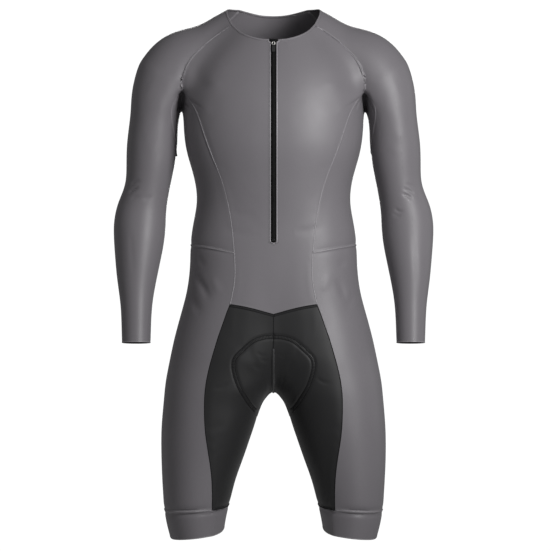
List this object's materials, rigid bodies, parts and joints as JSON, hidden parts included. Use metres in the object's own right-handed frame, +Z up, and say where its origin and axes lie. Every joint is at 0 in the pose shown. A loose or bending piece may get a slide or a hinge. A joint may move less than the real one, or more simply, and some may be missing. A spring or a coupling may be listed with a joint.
{
  "type": "long-sleeved cyclocross skinsuit",
  "caption": "Worn-shape one-piece cycling suit with raglan sleeves, short legs with grip bands, a dark saddle panel with a seat pad, and a front zip whose pull tab swings.",
  "frame": {"origin": "the middle of the neck opening, level with the two neck points where the shoulders meet the neckline, which is where the wearer's shoulders hold the suit", "axes": "+Z up towards the wearer's head; the front with its zip faces -Y; the wearer's left side is at +X"},
  "size_m": [0.5636, 0.2367, 0.9339],
  "materials": {
    "grey_knit": "smooth stretch warp knit with a satin sheen",
    "black_knit": "matt stretch knit",
    "band_knit": "double satin stretch knit, gripping inside",
    "pad_fabric": "brushed microfibre over foam",
    "zip_tape": "woven tape with a moulded coil",
    "zip_metal": "black nickel",
    "pull_rubber": "matt moulded rubber on a dark wire ring"
  },
  "bodies": {
    "suit": {"front": "grey_knit", "back": "grey_knit", "side_left": "grey_knit", "side_right": "grey_knit", "sleeve_left": "grey_knit", "sleeve_right": "grey_knit", "outer_leg_left": "grey_knit", "outer_leg_right": "grey_knit", "inner_leg_left": "black_knit", "inner_leg_right": "black_knit", "leg_band_left": "band_knit", "leg_band_right": "band_knit", "neck_binding": "grey_knit", "seat_pad": "pad_fabric", "zip_tape_left": "zip_tape", "zip_tape_right": "zip_tape", "zip_stop": "zip_metal", "zip_slider": "zip_metal"},
    "pull": {"zip_pull": "pull_rubber"}
  },
  "joints": [
    {"name": "pull_flip", "type": "hinge", "parent": "suit", "child": "pull", "pos_m": [0, -0.08053, -0.06259], "axis": [-1, 0, 0], "range_deg": [0, 165]}
  ]
}
